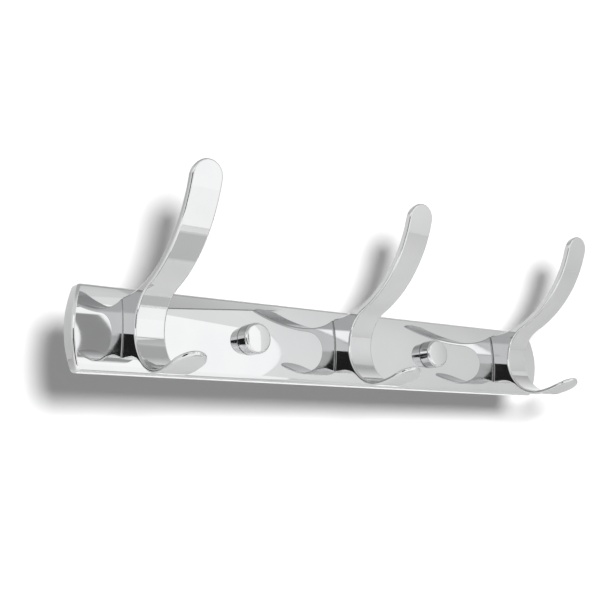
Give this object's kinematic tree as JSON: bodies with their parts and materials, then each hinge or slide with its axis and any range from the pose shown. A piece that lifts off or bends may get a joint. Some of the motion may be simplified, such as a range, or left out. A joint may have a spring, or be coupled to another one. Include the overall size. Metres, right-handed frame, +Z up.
{
  "type": "wall hook rack",
  "caption": "Chromed wall rack: a cambered rail with cast double hooks, each a long raised arm over a short lower lip, and round covers hiding the wall screws.",
  "frame": {"origin": "centre of the rail's back face, in the wall plane, at mid height of the rail", "axes": "+Z up, +X along the rail to the right as seen from the room, -Y out of the wall into the room"},
  "size_m": [0.282, 0.1027, 0.079],
  "materials": {
    "rail_chrome": "mirror polished chrome on pressed steel",
    "hook_chrome": "mirror polished chrome on cast zinc",
    "cover_chrome": "mirror polished chrome on turned brass",
    "block_nylon": "black glass-filled nylon",
    "spacer_nylon": "natural nylon",
    "zinc_steel": "bright zinc plated steel",
    "spring_steel": "zinc plated spring steel",
    "collar_brass": "turned brass",
    "ring_rubber": "black nitrile rubber"
  },
  "bodies": {
    "rack": {"rail_shell": "rail_chrome", "hook_left": "hook_chrome", "hook_middle": "hook_chrome", "hook_right": "hook_chrome", "backing_block_left": "block_nylon", "backing_block_middle": "block_nylon", "backing_block_right": "block_nylon", "hook_screws_left": "zinc_steel", "hook_screws_middle": "zinc_steel", "hook_screws_right": "zinc_steel", "lock_washers_left": "spring_steel", "lock_washers_middle": "spring_steel", "lock_washers_right": "spring_steel", "wall_spacer_left": "spacer_nylon", "wall_spacer_right": "spacer_nylon", "wall_screw_left": "zinc_steel", "wall_screw_right": "zinc_steel", "cap_collar_left": "collar_brass", "cap_collar_right": "collar_brass", "cap_o_ring_left": "ring_rubber", "cap_o_ring_right": "ring_rubber"},
    "left_cover": {"screw_cover_left": "cover_chrome"},
    "right_cover": {"screw_cover_right": "cover_chrome"}
  },
  "joints": [
    {"name": "left_cover_slide", "type": "slide", "parent": "rack", "child": "left_cover", "axis": [0, -1, 0], "range_m": [0, 0.012]},
    {"name": "right_cover_slide", "type": "slide", "parent": "rack", "child": "right_cover", "axis": [0, -1, 0], "range_m": [0, 0.012]}
  ]
}
